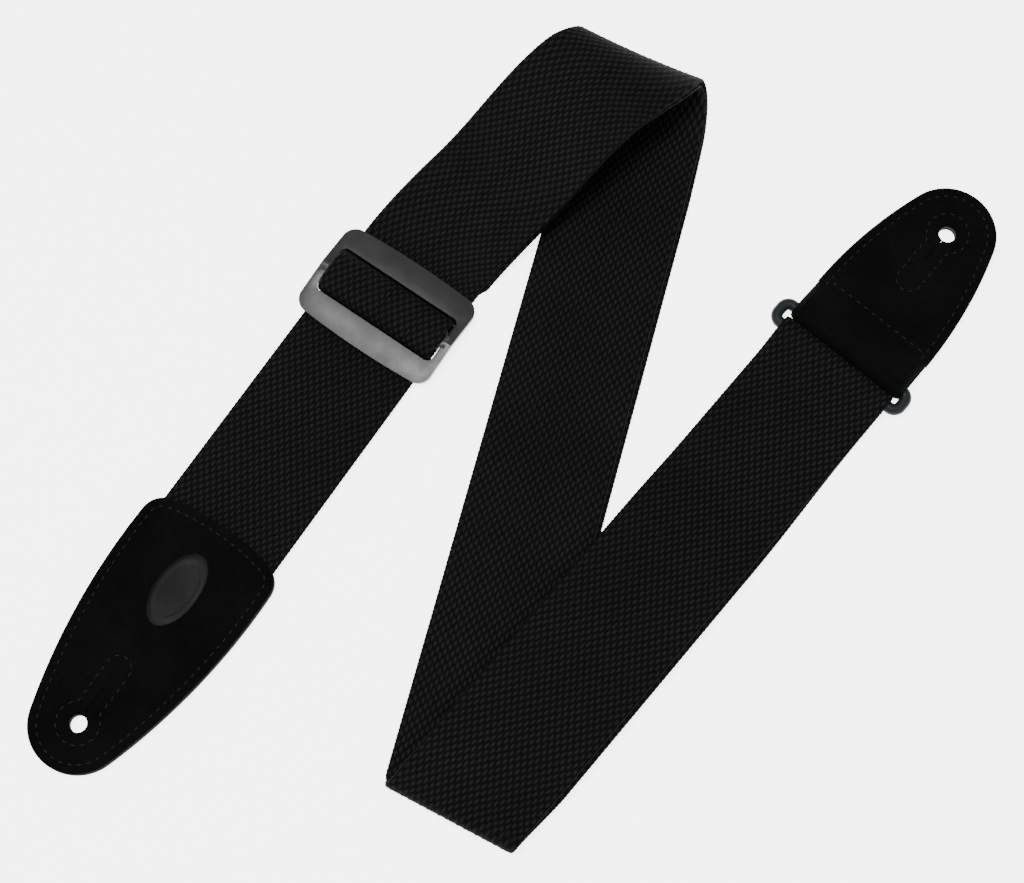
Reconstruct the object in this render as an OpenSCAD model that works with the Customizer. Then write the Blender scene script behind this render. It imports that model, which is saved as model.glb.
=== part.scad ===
// Guitar strap: a 50 mm webbing band with an adjusting slide, a ring and two leather ends,
// laid folded in a Z on a flat surface. The origin is the strap-button hole of leather end A,
// on the underside; +X and +Y lie in the surface and +Z is up.

/* [Webbing] */
// Width of the webbing
web_w = 50; // [38:0.5:60]
// Thickness of one layer of webbing
web_t = 1.6; // [1.2:0.1:2.2]
// Gap left between two layers that lie on each other
ply_gap = 0.1; // [0.05:0.05:0.3]

/* [Layout on the surface] */
// Direction of the first leg, from leather end A to the slide
leg_a_angle = 55.4; // [50:0.5:60]
// Direction of the middle leg
leg_m_angle = 74.7; // [71:0.5:78]
// Point on the centre line of the middle leg
leg_m_point = [169.5, 105.6];
// Direction square to the top loop's crown
top_fold_angle = 64; // [60:0.5:68]
// Direction of the first leg where it reaches the top loop
loop_leg_angle = 46; // [43:0.5:50]
// Direction square to the top of the loop
crown_angle = 69; // [62:0.5:72]
// Sideways drift of the band over the top loop
loop_drift = 14; // [10:0.5:18]
// Distance of the top loop's tangent line from the origin
top_fold_dist = 295.5; // [285:0.5:320]
// Direction square to the fold line of the bottom crease
bottom_fold_angle = 242.2; // [240:0.2:245]
// Distance of the bottom crease's tangent line from the origin
bottom_fold_dist = -35.7; // [-40:0.5:-25]
// Length of the last leg, from the crease to the ring's webbing bar
leg_b_len = 216; // [200:1:240]

/* [Folds] */
// How far the top loop bulges past its tangent line
loop_reach = 21.7; // [16:0.1:26]
// Height of the top loop
loop_h = 30; // [24:1:44]
// How far the bottom crease bulges past its tangent line
crease_reach = 4.4; // [4:0.1:6]
// Clear gap inside the bottom crease
crease_gap = 1; // [0.6:0.1:3]

/* [Leather ends] */
// Thickness of one leather layer
hide_t = 1.6; // [1.2:0.1:2]
// Diameter of the strap-button hole
button_d = 6.5; // [5.5:0.1:8]
// Width of the slit that lets the hole open over the button
slit_w = 0.4; // [0.2:0.1:0.8]
// Length of the slit from the hole's centre
slit_len = 15; // [10:1:20]
// Radius of the rounded tip of end A
tip_a_r = 18.2; // [17:0.1:21]
// Half width of end A where it is widest
half_a_w = 28.9; // [27.5:0.1:32]
// Distance from hole A to the widest place
wide_a_at = 68; // [60:1:72]
// Distance from hole A to the middle of the base edge
base_a_at = 87.3; // [84:0.5:96]
// Radius of the base edge's bow
base_a_r = 100; // [80:5:140]
// Radius of the base corners
corner_a_r = 9; // [6:0.5:11]
// Radius of the rounded tip of end B
tip_b_r = 18.6; // [18:0.1:21]
// Half width of end B where it is widest
half_b_w = 25.9; // [25.5:0.1:28]
// Distance from hole B to the widest place
wide_b_at = 46; // [40:1:50]
// Distance from hole B to the ring's leather bar
ring_b_at = 60; // [54:0.5:66]
// Sideways place of end B on the last leg
end_b_shift = 0.9; // [0:0.1:1.2]

/* [Stitching] */
// Distance of the border stitches from the edge
stitch_inset = 3.4; // [2.5:0.1:5]
// Pitch of the stitches
stitch_pitch = 3.4; // [2.5:0.1:5]
// Diameter of the thread
thread_d = 0.6; // [0.4:0.1:0.8]
// Radius of the stitched circle round the hole
keyhole_r = 8; // [6.5:0.1:9]
// Reach of the stitched keyhole from the hole's centre
keyhole_len = 28.6; // [25:0.1:32]
// Width of the stitched keyhole's neck
keyhole_neck = 9.5; // [8:0.1:11]

/* [Slide] */
// How much longer the slide is than the webbing is wide
slide_over = 9; // [4:0.5:20]
// Width of the slide along the webbing
slide_w = 37; // [32:0.5:42]
// Width of its long bars
slide_bar = 9; // [6:0.5:9.5]
// Width of its short sides
slide_side = 3.2; // [2.4:0.1:3.4]
// Thickness of the slide
slide_t = 2.6; // [2.2:0.1:3.4]
// Bend of each half, down from the middle bar
slide_bend = 8; // [4:0.5:10]
// Width of the middle bar
mid_bar_w = 5; // [4:0.5:6]
// Distance from hole A to the slide's middle bar
slide_at = 190; // [175:1:200]

/* [Ring] */
// How much longer the ring is than the webbing is wide
ring_over = 12; // [12:0.5:22]
// Diameter of the ring's bars
ring_bar = 4.4; // [3.6:0.1:4.6]
// Corner radius of the ring, to the middle of its bar
ring_corner = 3; // [2.6:0.1:4]
// Distance between the ring's two bar centres
ring_gap = 8.2; // [8.2:0.1:14]

/* [Hidden] */

// Heights of the layers above the surface
return_z = 0;
front_z = web_t + ply_gap;
stack_t = front_z + web_t;
core_z = hide_t + ply_gap;
core_t = web_t;
hide_z = max(core_z + core_t, front_z + web_t) + ply_gap;
slide_l = web_w + slide_over;
ring_l = web_w + ring_over;

// Small clearances
slip = 0.2;
loose = 0.9;
soft_gap = 0.3;

// Unit vectors and places in plan
function dir(a) = [cos(a), sin(a)];
function left(v) = [-v.y, v.x];
function along(v, u) = v.x * u.x + v.y * u.y;
leg_a_dir = dir(leg_a_angle);
leg_m_dir = dir(leg_m_angle);
top_n = dir(top_fold_angle);
top_a = left(top_n);
bottom_n = dir(bottom_fold_angle);
bottom_a = left(bottom_n);
leg_b_angle = 2 * (bottom_fold_angle - 180) - leg_m_angle;
leg_b_dir = dir(leg_b_angle);

// Where the middle leg's centre line meets each tangent line
function meet(n, dist, d) = leg_m_point + d * ((dist - along(leg_m_point, n)) / along(d, n));
top_meet = meet(top_n, top_fold_dist, leg_m_dir);
bottom_meet = meet(bottom_n, bottom_fold_dist, -leg_m_dir);
bottom_skew = leg_m_angle + 180 - bottom_fold_angle;

// Half the girth of an ellipse with half axes p and q
function half_girth(p, q) = 180 * PI / 360 * (3 * (p + q) - sqrt((3 * p + q) * (p + 3 * q)));
loop_half_h = loop_h / 2;
crease_h = 2 * stack_t + crease_gap;
crease_half_h = crease_h / 2;
crease_drift = half_girth(crease_reach, crease_half_h) * tan(bottom_skew);
top_end = top_meet + top_a * loop_drift;
bottom_end = bottom_meet + bottom_a * crease_drift;

// A ring of a band: centre, half cross vector and thickness direction, all in space
function flat3(v, z) = [v.x, v.y, z];
function unit(v) = v / norm(v);

// Rings round the bottom crease, at depth off from its outer face; q runs from 0 to 1
function crease_ring(off, q) =
    let (s = sin(180 * q), c = cos(180 * q),
         inward = -unit([s / crease_reach, -c / crease_half_h]),
         p = [crease_reach * s, crease_half_h * (1 - c)] + off * inward)
    [flat3(bottom_meet + bottom_a * crease_drift * q + bottom_n * p.x, p.y),
     flat3(bottom_a, 0) * (web_w / 2 / cos(bottom_skew)),
     flat3(bottom_n * inward.x, inward.y)];

// Rings round the top loop, whose cross lines turn evenly from the middle leg to the first leg
function loop_ring(off, q) =
    let (s = sin(180 * q), c = cos(180 * q), inward = -unit([s / loop_reach, -c / loop_half_h]),
         n = dir(q < 0.5 ? mix(leg_m_angle, crown_angle, 2 * q)
             : mix(crown_angle, loop_leg_angle, 2 * q - 1)),
         p = [loop_reach * s, loop_half_h * (1 - c)] + off * inward)
    [flat3(top_meet + top_a * loop_drift * ease(q) + n * p.x, p.y),
     flat3(left(n), 0) * web_w / 2,
     flat3(n * inward.x, inward.y)];

// Solid band of thickness t through a list of rings
module band(rings, t) {
    n = len(rings);
    points = [for (r = rings) each [
        r[0] - r[1] - r[2] * t / 2, r[0] + r[1] - r[2] * t / 2,
        r[0] + r[1] + r[2] * t / 2, r[0] - r[1] + r[2] * t / 2]];
    sides = [for (i = [0 : n - 2]) for (k = [0 : 3])
        let (a = 4 * i + k, b = 4 * i + (k + 1) % 4) each [[a, b + 4, b], [a, a + 4, b + 4]]];
    ends = [[0, 1, 2], [0, 2, 3], [4 * n - 4, 4 * n - 2, 4 * n - 3], [4 * n - 4, 4 * n - 1, 4 * n - 2]];
    polyhedron(points, concat(sides, ends), convexity = 4);
}

// Flat part of a band between two end lines, each given by its centre and half cross vector
module flat_band(c0, x0, c1, x1, z) {
    translate([0, 0, z])
        linear_extrude(web_t)
            polygon([c0 - x0, c0 + x0, c1 + x1, c1 - x1]);
}

// Profile in the u-z plane, stood across the webbing
module across(width) {
    rotate([90, 0, 0])
        linear_extrude(width, center = true) children();
}

// Outline of a strip of thickness t that follows a list of points
function offset_side(p, d) = [for (i = [0 : len(p) - 1])
    let (v = unit(p[min(i + 1, len(p) - 1)] - p[max(i - 1, 0)])) p[i] + d * [-v.y, v.x]];
function reversed(p) = [for (i = [len(p) - 1 : -1 : 0]) p[i]];
module strip_profile(p, t) {
    polygon(concat(offset_side(p, t / 2), reversed(offset_side(p, -t / 2))));
}

function ease(q) = q * q * (3 - 2 * q);
function mix(a, b, q) = a + (b - a) * q;

// ---------- first leg: flat from end A to past the slide, then rising to the loop ----------
flat_end = slide_at + slide_w / 2 + 1;
rise_steps = 16;
rise_start = leg_a_dir * flat_end;
rise_cross = left(leg_a_dir) * web_w / 2;
loop_leg_dir = dir(loop_leg_angle);
loop_cross = left(loop_leg_dir) * web_w / 2;
middle_cross = left(leg_m_dir) * web_w / 2;
rise_stop = top_end - loop_leg_dir * soft_gap;
rise_handle = norm(rise_stop - rise_start) / 3;
function bezier(a, b, c, d, q) =
    a * pow(1 - q, 3) + 3 * b * q * pow(1 - q, 2) + 3 * c * q * q * (1 - q) + d * pow(q, 3);
function rise_plan(q) = bezier(rise_start, rise_start + leg_a_dir * rise_handle,
    rise_stop - loop_leg_dir * rise_handle, rise_stop, q);
function rise_z(q) = mix(front_z + web_t / 2, loop_h - web_t / 2, ease(q));
// Ring of the rising band, at depth below the front layer's middle
function rise_ring(q, depth) =
    let (e = 0.001, q0 = max(q - e, 0), q1 = min(q + e, 1), x = mix(rise_cross, loop_cross, ease(q)),
         tangent = flat3(rise_plan(q1) - rise_plan(q0), rise_z(q1) - rise_z(q0)),
         up = unit(cross(tangent, flat3(x, 0))))
    [flat3(rise_plan(q), rise_z(q)) - up * depth * (1 + 0.12 * sin(180 * q)), flat3(x, 0), up];
function rise_rings(depth) = [for (i = [0 : rise_steps]) rise_ring(i / rise_steps, depth)];

// ---------- last leg: high over the middle leg, then down to the surface ----------
drop_from = 122;
drop_len = 36;
turn_taper = 16;
leg_b_cross = left(leg_b_dir) * web_w / 2;
crease_cross = -bottom_a * web_w / 2 / cos(bottom_skew);
function leg_b_at(s) = bottom_end + leg_b_dir * s;
lower_stop = leg_b_len - turn_taper;
high_z = crease_gap + stack_t;
function drop_ring(s, x, z0, z1) =
    let (q = min(max((s - drop_from) / drop_len, 0), 1),
         slope = (z0 - z1) * 6 * q * (1 - q) / drop_len)
    [flat3(leg_b_at(s), mix(z0, z1, ease(q))), flat3(x, 0), unit(flat3(leg_b_dir * slope, 1))];
drop_steps = 12;
function lower_rings(z0, z1) = concat(
    [drop_ring(soft_gap, crease_cross, z0, z1), drop_ring(30, leg_b_cross, z0, z1)],
    [for (i = [0 : drop_steps]) drop_ring(drop_from + drop_len * i / drop_steps, leg_b_cross, z0, z1)],
    [drop_ring(lower_stop, leg_b_cross, z0, z1)]);

// ---------- leather outlines ----------
function arc(c, r, a0, a1, n) = [for (i = [0 : n]) c + r * dir(mix(a0, a1, i / n))];
function angle_of(v) = atan2(v.y, v.x);
// Radius of a side that is tangent to the tip's circle and widest at (at, w)
function side_r(tip, at, w) = (at * at + w * w - tip * tip) / (2 * (w - tip));
// Centre of the circle of radius r inside the side's circle and the base's circle
function corner_c(s, rs, b, rb, r) =
    let (d = norm(s - b), x = ((rb - r) * (rb - r) - (rs - r) * (rs - r) + d * d) / (2 * d),
         h = sqrt((rb - r) * (rb - r) - x * x), e = (s - b) / d)
    b + e * x + left(e) * h;
function mirrored(p) = [for (i = [len(p) - 1 : -1 : 0]) [p[i].x, -p[i].y]];

// Upper half of end A's edge, inset by d, from the tip to the middle of the base
function half_a(d) =
    let (rs = side_r(tip_a_r, wide_a_at, half_a_w), s = [wide_a_at, half_a_w - rs],
         b = [base_a_at - base_a_r, 0], c = corner_c(s, rs, b, base_a_r, corner_a_r),
         tip_turn = angle_of(-s), corner_turn = angle_of(c - s), base_turn = angle_of(c - b))
    concat(arc([0, 0], tip_a_r - d, 180, tip_turn, 10), arc(s, rs - d, tip_turn, corner_turn, 12),
        arc(c, corner_a_r - d, corner_turn, base_turn, 6), arc(b, base_a_r - d, base_turn, 0, 5));
// Upper half of end B's edge, inset by d, from the tip to u = stop
function half_b(d, stop) =
    let (rs = side_r(tip_b_r, wide_b_at, half_b_w), s = [wide_b_at, half_b_w - rs],
         tip_turn = angle_of(-s), end_turn = acos((stop - s.x) / (rs - d)))
    concat(arc([0, 0], tip_b_r - d, 180, tip_turn, 10), arc(s, rs - d, tip_turn, end_turn, 10));

// Frames of the two ends: u runs from the hole along the strap, towards the webbing
module at_end_a() {
    rotate(leg_a_angle) children();
}
ring_bar_z = web_t + slip + ring_bar / 2;
end_b_hole = leg_b_at(leg_b_len + ring_gap + ring_b_at) - left(leg_b_dir) * end_b_shift;
module at_end_b() {
    translate(end_b_hole) rotate(leg_b_angle + 180) children();
}
module at_ring() {
    translate(leg_b_at(leg_b_len)) rotate(leg_b_angle) children();
}

// The button hole with its slit, cut through everything
module button_cut() {
    cut_h = 40;
    translate([0, 0, -cut_h / 2]) cylinder(d = button_d, h = cut_h, $fn = 64);
    translate([0, -slit_w / 2, -cut_h / 2]) cube([slit_len, slit_w, cut_h]);
}

// ---------- stitches ----------
stitch_fill = 0.62;
module stitch(a, b, z) {
    v = unit(b - a);
    translate(flat3(a, z)) rotate(angle_of(v))
        translate([0, -thread_d / 2, 0])
            cube([norm(b - a) * stitch_fill, thread_d, thread_d / 2]);
}
function lengths(p, i = 0, sum = 0, out = []) =
    i == len(p) - 1 ? concat(out, [sum]) : lengths(p, i + 1, sum + norm(p[i + 1] - p[i]), concat(out, [sum]));
function at_length(p, l, s) =
    let (k = [for (i = [0 : len(p) - 2]) if (l[i + 1] >= s) i][0], q = (s - l[k]) / (l[k + 1] - l[k]))
    mix(p[k], p[k + 1], q);
module stitch_row(p, z) {
    l = lengths(p);
    total = l[len(l) - 1];
    count = round(total / stitch_pitch);
    for (i = [0 : count - 1])
        stitch(at_length(p, l, total * i / count), at_length(p, l, total * (i + 1) / count * 0.9999), z);
}
function keyhole_path() =
    let (turn = asin(keyhole_neck / 2 / keyhole_r), end_r = keyhole_neck / 2)
    concat(arc([keyhole_len - end_r, 0], end_r, 0, 90, 4), arc([0, 0], keyhole_r, turn, 360 - turn, 16),
        arc([keyhole_len - end_r, 0], end_r, 270, 360, 4));
thread_z = hide_z + hide_t + 0.02;

// ---------- leather end A ----------
module end_a_plate(z, t) {
    translate([0, 0, z]) linear_extrude(t)
        polygon(concat(half_a(0), mirrored(half_a(0))));
}
web_into_a = 40;
module end_a_front_leather() {
    color([0.07, 0.07, 0.075]) at_end_a() difference() {
        end_a_plate(hide_z, hide_t);
        button_cut();
    }
}
module end_a_back_leather() {
    color([0.1, 0.1, 0.1]) at_end_a() difference() {
        end_a_plate(0, hide_t);
        button_cut();
    }
}
// Stiffening core round the hole, from the tip to the webbing's cut end
module end_a_core() {
    color([0.2, 0.19, 0.18]) at_end_a() difference() {
        intersection() {
            translate([0, 0, core_z]) linear_extrude(core_t)
                polygon(concat(half_a(1), mirrored(half_a(1))));
            translate([-tip_a_r, -half_a_w, 0]) cube([tip_a_r + web_into_a - soft_gap, 2 * half_a_w, hide_z]);
        }
        button_cut();
    }
}
module end_a_border_stitches() {
    color([0.16, 0.16, 0.17]) at_end_a()
        stitch_row(concat(half_a(stitch_inset), mirrored(half_a(stitch_inset))), thread_z);
}
module end_a_keyhole_stitches() {
    color([0.16, 0.16, 0.17]) at_end_a() stitch_row(keyhole_path(), thread_z);
}

// ---------- webbing, first leg ----------
module front_webbing_upper() {
    color([0.06, 0.06, 0.065]) {
        flat_band(leg_a_dir * web_into_a, rise_cross, rise_start, rise_cross, front_z);
        band(rise_rings(0), web_t);
    }
}
module return_webbing_upper() {
    color([0.05, 0.05, 0.055]) {
        flat_band(leg_a_dir * slide_at, rise_cross, rise_start, rise_cross, return_z);
        band(rise_rings(web_t + ply_gap), web_t);
    }
}

// ---------- slide ----------
slide_z = stack_t + soft_gap;
bar_z = slide_z + slide_w / 2 * sin(slide_bend);
slide_corner = 5;
slide_inner_corner = 2.5;
hump_w = slide_l - 2 * slide_side - slide_inner_corner - soft_gap;
module rounded(l, w, r) {
    for (i = [-1, 1]) for (k = [-1, 1])
        translate([i * (l / 2 - r), k * (w / 2 - r)]) circle(r, $fn = 32);
    square([l - 2 * r, w], center = true);
    square([l, w - 2 * r], center = true);
}
// One bent half of the frame, on the side of +u, with a little past the middle to join the other
half_lap = 0.05;
module slide_half() {
    intersection() {
        translate([0, 0, bar_z]) rotate([0, slide_bend, 0]) linear_extrude(slide_t) difference() {
            rounded(slide_w, slide_l, slide_corner);
            rounded(slide_w - 2 * slide_bar, slide_l - 2 * slide_side, slide_inner_corner);
        }
        translate([-half_lap, -slide_l, 0]) cube([slide_w, 2 * slide_l, 2 * bar_z]);
    }
}
module at_slide() {
    rotate(leg_a_angle) translate([slide_at, 0, 0]) children();
}
module slide_frame() {
    color([0.2, 0.21, 0.23]) at_slide() {
        slide_half();
        mirror([1, 0, 0]) slide_half();
        translate([-mid_bar_w / 2, -slide_l / 2 + slide_side / 2, bar_z])
            cube([mid_bar_w, slide_l - slide_side, slide_t]);
    }
}
// Rounded sleeve of webbing round the middle bar: the sewn end of the return layer
wrap_t = 1.2;
wrap_top = bar_z + slide_t + slip + wrap_t;
wrap_half_w = mid_bar_w / 2 + slip + wrap_t;
module wrap_shape(grow) {
    translate([0, bar_z + slide_t / 2])
        rounded(mid_bar_w + 2 * (slip + grow), slide_t + 2 * (slip + grow), 0.6 + grow);
}
module slide_webbing_wrap() {
    color([0.05, 0.05, 0.055]) at_slide() across(hump_w - 1) difference() {
        wrap_shape(wrap_t);
        wrap_shape(0);
    }
}
// The front layer's climb over the middle bar, between the two long bars
hump_foot = slide_w / 2 - slide_bar - soft_gap - web_t / 2;
hump_foot_z = stack_t + soft_gap + web_t / 2;
hump_top = wrap_top + slip + web_t / 2;
hump_square = 0.75;
module slide_webbing_hump() {
    half = [for (i = [0 : 8]) let (q = i / 8)
        [-hump_foot * pow(cos(90 * q), hump_square),
         hump_foot_z + (hump_top - hump_foot_z) * pow(sin(90 * q), hump_square)]];
    whole = concat(half, [for (i = [7 : -1 : 0]) [-half[i].x, half[i].y]]);
    color([0.06, 0.06, 0.065]) at_slide() across(hump_w) strip_profile(whole, web_t);
}

// ---------- webbing, top loop ----------
loop_steps = 20;
module front_webbing_top_loop() {
    color([0.06, 0.06, 0.065])
        band([for (i = [0 : loop_steps]) loop_ring(web_t / 2, i / loop_steps)], web_t);
}
module return_webbing_top_loop() {
    color([0.05, 0.05, 0.055]) band([for (i = [0 : loop_steps]) let (q = i / loop_steps)
        loop_ring(front_z + web_t / 2 + loose * sin(180 * q), q)], web_t);
}

// ---------- webbing, middle leg ----------
module front_webbing_middle() {
    color([0.06, 0.06, 0.065])
        flat_band(bottom_meet, crease_cross, top_meet, middle_cross, 0);
}
module return_webbing_middle() {
    color([0.05, 0.05, 0.055])
        flat_band(bottom_meet, crease_cross, top_meet, middle_cross, front_z);
}

// ---------- webbing, bottom crease ----------
crease_steps = 12;
function crease_rings(off) = [for (i = [0 : crease_steps])
    crease_ring(off + web_t / 2, i / crease_steps)];
module front_webbing_crease() {
    color([0.06, 0.06, 0.065]) band(crease_rings(0), web_t);
}
module return_webbing_crease() {
    color([0.05, 0.05, 0.055]) band(crease_rings(web_t + ply_gap), web_t);
}

// ---------- webbing, last leg ----------
module front_webbing_lower() {
    color([0.06, 0.06, 0.065])
        band(lower_rings(high_z + front_z + web_t / 2, front_z + web_t / 2), web_t);
}
module return_webbing_lower() {
    color([0.05, 0.05, 0.055])
        band(lower_rings(high_z + web_t / 2, return_z + web_t / 2), web_t);
}
// The turn round the ring's bar: out on top, round, and back underneath
turn_r = ring_bar / 2 + slip + web_t / 2;
function turn_points(taper, top0, r, bar_z, low_z) = concat(
    [[-taper, top0]],
    [for (i = [0 : 8]) [mix(1 - taper, 0, i / 8), mix(top0, bar_z + r, ease(i / 8))]],
    arc([0, bar_z], r, 80, -80, 14),
    [for (i = [0 : 4]) [mix(0, 1 - taper, i / 4), mix(bar_z - r, low_z, ease(i / 4))]],
    [[-taper, low_z]]);
module ring_webbing_turn() {
    color([0.06, 0.06, 0.065]) at_ring() across(web_w)
        strip_profile(turn_points(turn_taper, front_z + web_t / 2, turn_r, ring_bar_z, web_t / 2), web_t);
}

// ---------- ring ----------
module ring() {
    half_gap = ring_gap / 2;
    half_l = (ring_l - ring_bar) / 2;
    color([0.2, 0.22, 0.26]) at_ring() translate([half_gap, 0, ring_bar_z]) for (i = [-1, 1]) {
        translate([i * half_gap, 0, 0]) rotate([90, 0, 0])
            cylinder(d = ring_bar, h = 2 * (half_l - ring_corner), center = true, $fn = 48);
        translate([0, i * half_l, 0]) rotate([0, 90, 0])
            cylinder(d = ring_bar, h = 2 * (half_gap - ring_corner), center = true, $fn = 48);
        for (k = [-1, 1])
            translate([i * (half_gap - ring_corner), k * (half_l - ring_corner), 0])
                rotate([0, 0, i > 0 ? (k > 0 ? 0 : -90) : (k > 0 ? 90 : 180)])
                    rotate_extrude(angle = 90, $fn = 64)
                        translate([ring_corner, 0]) circle(d = ring_bar, $fn = 48);
    }
}

// ---------- leather end B ----------
turn_b_taper = 14;
turn_b_w = 2 * half_b_w - 1.2;
hide_turn_r = ring_bar / 2 + slip + hide_t / 2;
flat_b_stop = ring_b_at - turn_b_taper;
module end_b_plate(z, t, inset, stop) {
    translate([0, 0, z]) linear_extrude(t)
        polygon(concat(half_b(inset, stop), mirrored(half_b(inset, stop))));
}
module end_b_front_leather() {
    color([0.07, 0.07, 0.075]) at_end_b() difference() {
        end_b_plate(hide_z, hide_t, 0, flat_b_stop);
        button_cut();
    }
}
module end_b_back_leather() {
    color([0.1, 0.1, 0.1]) at_end_b() difference() {
        end_b_plate(0, hide_t, 0, flat_b_stop);
        button_cut();
    }
}
module end_b_core() {
    color([0.2, 0.19, 0.18]) at_end_b() difference() {
        end_b_plate(core_z, core_t, 1, flat_b_stop);
        button_cut();
    }
}
module end_b_leather_turn() {
    color([0.07, 0.07, 0.075]) at_end_b() translate([ring_b_at, 0, 0]) across(turn_b_w)
        strip_profile(turn_points(turn_b_taper, hide_z + hide_t / 2, hide_turn_r, ring_bar_z,
            hide_t / 2), hide_t);
}
module end_b_border_stitches() {
    color([0.16, 0.16, 0.17]) at_end_b()
        stitch_row(concat(reversed(half_b(stitch_inset, flat_b_stop - 1)),
            reversed(mirrored(half_b(stitch_inset, flat_b_stop - 1)))), thread_z);
}
module end_b_keyhole_stitches() {
    color([0.16, 0.16, 0.17]) at_end_b() stitch_row(keyhole_path(), thread_z);
}
cross_row_at = flat_b_stop - 2.6;
module end_b_cross_stitches() {
    color([0.16, 0.16, 0.17]) at_end_b()
        stitch_row([[cross_row_at, -half_b_w + 6], [cross_row_at, half_b_w - 6]], thread_z);
}

end_a_front_leather();
end_a_core();
end_a_back_leather();
end_a_border_stitches();
end_a_keyhole_stitches();
front_webbing_upper();
return_webbing_upper();
slide_frame();
slide_webbing_hump();
slide_webbing_wrap();
front_webbing_top_loop();
return_webbing_top_loop();
front_webbing_middle();
return_webbing_middle();
front_webbing_crease();
return_webbing_crease();
front_webbing_lower();
return_webbing_lower();
ring_webbing_turn();
ring();
end_b_front_leather();
end_b_core();
end_b_back_leather();
end_b_leather_turn();
end_b_border_stitches();
end_b_keyhole_stitches();
end_b_cross_stitches();
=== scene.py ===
"""Guitar strap laid in a Z: woven cotton band, suede ends, moulded slide and ring."""
import math

import bmesh
import bpy
import numpy as np
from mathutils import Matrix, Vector
from mathutils.geometry import delaunay_2d_cdt


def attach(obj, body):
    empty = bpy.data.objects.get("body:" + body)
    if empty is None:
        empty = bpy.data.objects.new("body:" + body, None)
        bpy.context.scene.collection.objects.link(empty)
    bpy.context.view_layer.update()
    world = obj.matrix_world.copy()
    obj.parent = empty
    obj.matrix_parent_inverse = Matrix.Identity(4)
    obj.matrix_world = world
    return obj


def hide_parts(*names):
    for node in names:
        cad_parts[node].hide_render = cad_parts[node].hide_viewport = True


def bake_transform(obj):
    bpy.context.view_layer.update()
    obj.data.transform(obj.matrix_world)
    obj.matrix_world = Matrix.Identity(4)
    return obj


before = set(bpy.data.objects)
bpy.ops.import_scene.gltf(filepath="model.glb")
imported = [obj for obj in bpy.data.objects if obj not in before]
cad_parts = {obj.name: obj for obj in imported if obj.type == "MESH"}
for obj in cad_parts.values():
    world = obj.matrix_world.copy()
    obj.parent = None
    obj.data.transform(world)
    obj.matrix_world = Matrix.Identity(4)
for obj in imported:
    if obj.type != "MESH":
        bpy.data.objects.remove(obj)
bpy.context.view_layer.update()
MM = 0.001

# ---------- sizes of the strap, in millimetres, as in the part's own source ----------
WEB_W, WEB_T, PLY_GAP = 50.0, 1.6, 0.1
LEG_A, LEG_M, LOOP_LEG, TOP_FOLD, BOTTOM_FOLD = 55.4, 74.7, 46.0, 64.0, 242.2
LEG_M_POINT = (169.5, 105.6)
TOP_DIST, BOTTOM_DIST, LEG_B_LEN = 295.5, -35.7, 216.0
LOOP_REACH, LOOP_H, LOOP_DRIFT, CROWN_DIR = 21.7, 30.0, 14.0, 69.0
CREASE_REACH, CREASE_GAP = 4.4, 1.0
SLIDE_AT, SLIDE_L, SLIDE_W, SLIDE_BAR, SLIDE_T = 190.0, 59.0, 37.0, 9.0, 2.6
HIDE_T, BUTTON_D, SLIT_LEN = 1.6, 6.5, 15.0
TIP_A, HALF_A, WIDE_A, BASE_A, BASE_R, CORNER_A = 18.2, 28.9, 68.0, 87.3, 100.0, 9.0
TIP_B, HALF_B, WIDE_B, RING_B = 18.6, 25.9, 46.0, 60.0
RING_BAR, RING_GAP, END_B_SHIFT = 4.4, 8.2, 0.9
STITCH_IN, STITCH_PITCH = 3.4, 3.4
KEY_R, KEY_LEN, KEY_NECK = 8.0, 28.6, 9.5
SLIP, SOFT_GAP, LOOSE = 0.2, 0.3, 0.9
TURN_TAPER, TURN_B_TAPER = 16.0, 14.0
DROP_FROM, DROP_LEN = 122.0, 36.0
WEB_INTO_A = 40.0
FRONT_Z = WEB_T + PLY_GAP
STACK_T = FRONT_Z + WEB_T
CORE_Z = HIDE_T + PLY_GAP
HIDE_Z = CORE_Z + WEB_T + PLY_GAP
RING_Z = WEB_T + SLIP + RING_BAR / 2
TURN_R = RING_BAR / 2 + SLIP + WEB_T / 2

# ---------- shapes the part's own source doesn't have, or has plainer, in millimetres ----------
SLIT_W = 0.1            # the slit lies nearly closed; the source cuts it 0.4 wide
PEEK, CUT_PEEK = 1.6, 1.5
BULGE = 4.8
SELVEDGE = 1.3
EDGE_R, GROOVE_W = 0.55, 0.9
SLIDE_BOW, TURN_PLUMP = 1.3, 0.2
OVAL_AT, OVAL_L, OVAL_W, OVAL_DEEP = 59.0, 32.0, 17.5, 0.35
STITCH_L, THREAD_R = 1.9, 0.3
UNDER_THREAD_Z = 0.12   # threads on the underside, which are a guess
LOOP_WIDE, CREASE_WIDE = 50.0, 28.0

# ---------- weave: columns of long crowns, each column half a step from the next ----------
COLUMN_W = 1.43
CROWN_STEP = 3.8
CROWN_H = 0.26
ROWS_PER_STEP = 6
COLUMNS_ACROSS = 140


def direction(angle):
    return np.array([math.cos(math.radians(angle)), math.sin(math.radians(angle))])


def left(v):
    return np.array([-v[1], v[0]])


def unit(v):
    v = np.asarray(v, float)
    return v / np.linalg.norm(v, axis=-1, keepdims=True)


def ease(q):
    return q * q * (3 - 2 * q)


def mix(a, b, q):
    return a + (b - a) * q


def flat3(v, z):
    return np.array([v[0], v[1], z])


A_DIR, M_DIR = direction(LEG_A), direction(LEG_M)
TOP_N, BOTTOM_N = direction(TOP_FOLD), direction(BOTTOM_FOLD)
TOP_A, BOTTOM_A = left(TOP_N), left(BOTTOM_N)
LEG_B = 2 * (BOTTOM_FOLD - 180) - LEG_M
B_DIR = direction(LEG_B)
M_POINT = np.array(LEG_M_POINT)
HALF_H = LOOP_H / 2
CREASE_H = 2 * STACK_T + CREASE_GAP


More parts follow.
